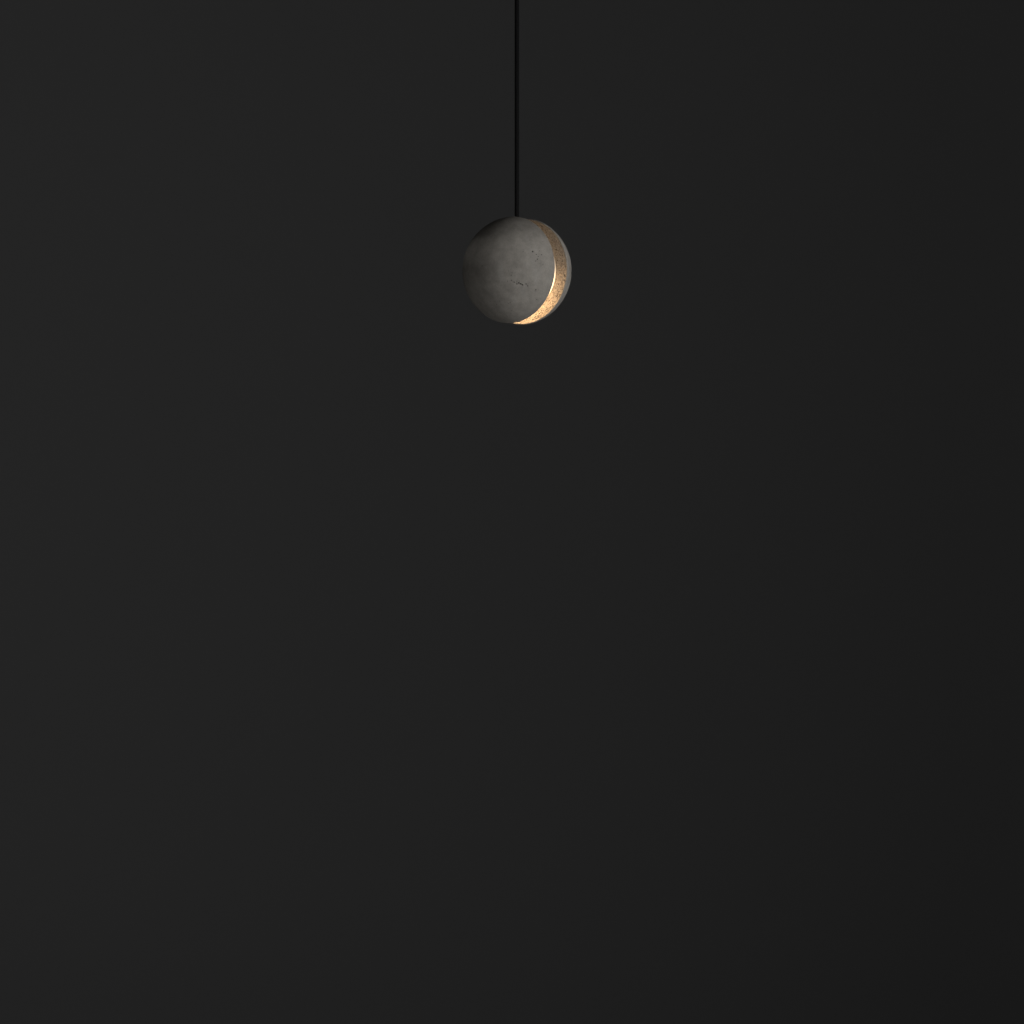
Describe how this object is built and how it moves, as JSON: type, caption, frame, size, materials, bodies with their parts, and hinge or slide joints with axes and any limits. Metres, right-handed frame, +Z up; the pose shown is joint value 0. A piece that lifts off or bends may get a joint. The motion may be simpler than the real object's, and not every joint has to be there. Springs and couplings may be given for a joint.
{
  "type": "pendant ceiling light",
  "caption": "Small pendant light: a raw concrete ball split by an upright slot that glows warm downwards, hung on a straight black cord from a round ceiling canopy.",
  "frame": {"origin": "centre of the ceiling plane that the canopy and its bracket sit against", "axes": "+Z up towards the ceiling; the ball's slot faces along Y, with the front cap on the -Y side"},
  "size_m": [0.1168, 0.12, 0.4124],
  "materials": {
    "concrete": "cast, smooth outside and sandy on the slot faces",
    "canopy_paint": "fine matt powder coat",
    "black_metal": "satin black",
    "black_screw": "black oxide",
    "zinc_steel": "zinc plated",
    "brass": "plain turned",
    "hub_aluminium": "fine cast",
    "nylon": "natural",
    "block_plastic": "moulded",
    "driver_case": "moulded, fine texture",
    "foam_tape": "foam",
    "wire_insulation": "smooth PVC",
    "core_insulation": "smooth PVC",
    "earth_insulation": "smooth PVC",
    "cord_sheath": "matt black round sheath",
    "seal_rubber": "smooth",
    "circuit_board": "white solder mask",
    "led_phosphor": "phosphor in a white package",
    "glowing_diffuser": "opal, lit warm white from inside"
  },
  "bodies": {
    "ceiling_set": {"ceiling_canopy": "canopy_paint", "mounting_bracket": "zinc_steel", "canopy_side_screws": "black_screw", "cord_grip_body": "black_metal", "cord_grip_nut": "black_metal", "cord_grip_collet": "nylon", "cord_grip_locknut": "zinc_steel", "terminal_block": "block_plastic", "terminal_screws": "zinc_steel", "earth_screw": "brass", "earth_lead": "earth_insulation", "led_driver": "driver_case", "driver_pad": "foam_tape", "driver_input_leads": "wire_insulation", "cord_tail_cores": "core_insulation", "cord_tail": "cord_sheath"},
    "cord_flex": {"cord_bend": "cord_sheath"},
    "hanging_cord": {"cord_drop": "cord_sheath"},
    "ball": {"front_cap": "concrete", "rear_cap": "concrete", "front_inserts": "brass", "rear_inserts": "brass", "front_plate": "zinc_steel", "rear_plate": "zinc_steel", "front_plate_screws": "zinc_steel", "rear_plate_screws": "zinc_steel", "bayonet_studs": "zinc_steel", "lock_screw": "black_screw", "core_hub": "hub_aluminium", "hub_screws": "zinc_steel", "led_strip": "circuit_board", "led_chips": "led_phosphor", "diffuser": "glowing_diffuser", "core_shroud": "glowing_diffuser", "shroud_screws": "black_screw", "ball_gland_body": "black_metal", "ball_gland_nut": "black_metal", "ball_gland_seal": "seal_rubber", "cord_clamp": "nylon", "cord_clamp_screws": "zinc_steel", "core_connector": "block_plastic", "core_connector_screws": "zinc_steel", "cord_end_cores": "core_insulation", "strip_leads": "core_insulation", "cord_end": "cord_sheath"}
  },
  "joints": [
    {"name": "swing_x", "type": "hinge", "parent": "ceiling_set", "child": "cord_flex", "pos_m": [0, 0, -0.04], "axis": [1, 0, 0], "range_deg": [-30, 30]},
    {"name": "swing_y", "type": "hinge", "parent": "cord_flex", "child": "hanging_cord", "pos_m": [0, 0, -0.04], "axis": [0, 1, 0], "range_deg": [-30, 30]},
    {"name": "cord_twist", "type": "hinge", "parent": "hanging_cord", "child": "ball", "pos_m": [0, 0, -0.303], "axis": [0, 0, 1], "range_deg": [-180, 180]}
  ]
}
